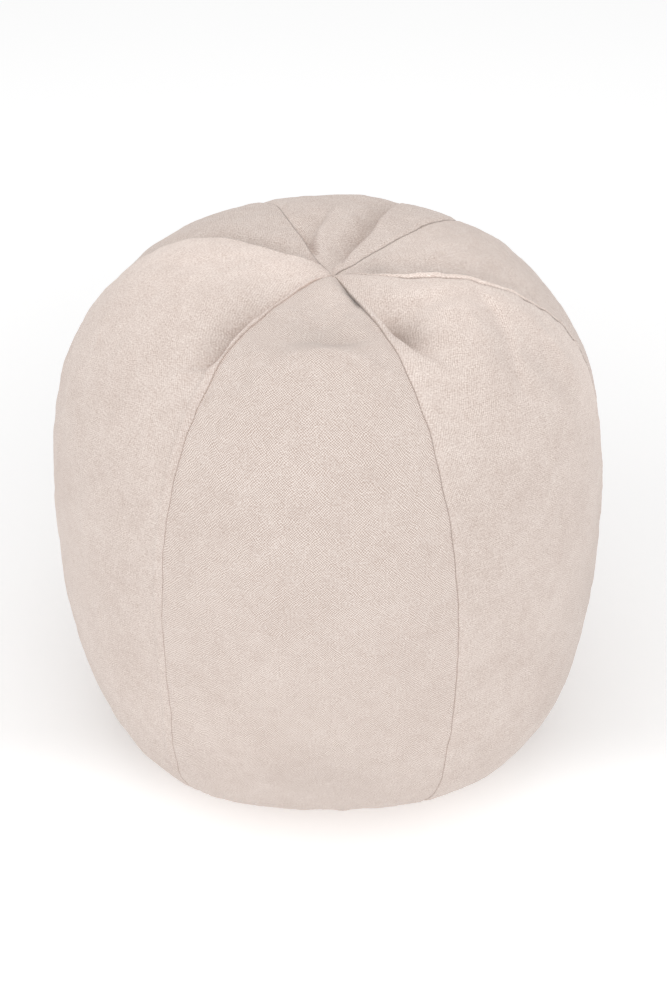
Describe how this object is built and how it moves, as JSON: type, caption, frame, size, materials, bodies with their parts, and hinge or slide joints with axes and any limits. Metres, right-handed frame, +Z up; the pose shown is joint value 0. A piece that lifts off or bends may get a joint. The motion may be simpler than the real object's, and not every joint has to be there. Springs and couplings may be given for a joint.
{
  "type": "pouf",
  "caption": "Ball pouf in pale oat canvas, sewn from gores that meet at a drawn-in point on top, with slack folds round that point and a flat base.",
  "frame": {"origin": "on the floor, under the middle of the pouf", "axes": "+Z up, -Y out of the front gore, +X to the right as seen from the front"},
  "size_m": [0.4964, 0.4987, 0.502],
  "materials": {
    "canvas": "heavy plain woven canvas, matt, slightly brushed, pale oat with a hint of pink"
  },
  "bodies": {
    "root": {"gore_front": "canvas", "gore_front_right": "canvas", "gore_back_right": "canvas", "gore_back": "canvas", "gore_back_left": "canvas", "gore_front_left": "canvas"}
  },
  "joints": []
}
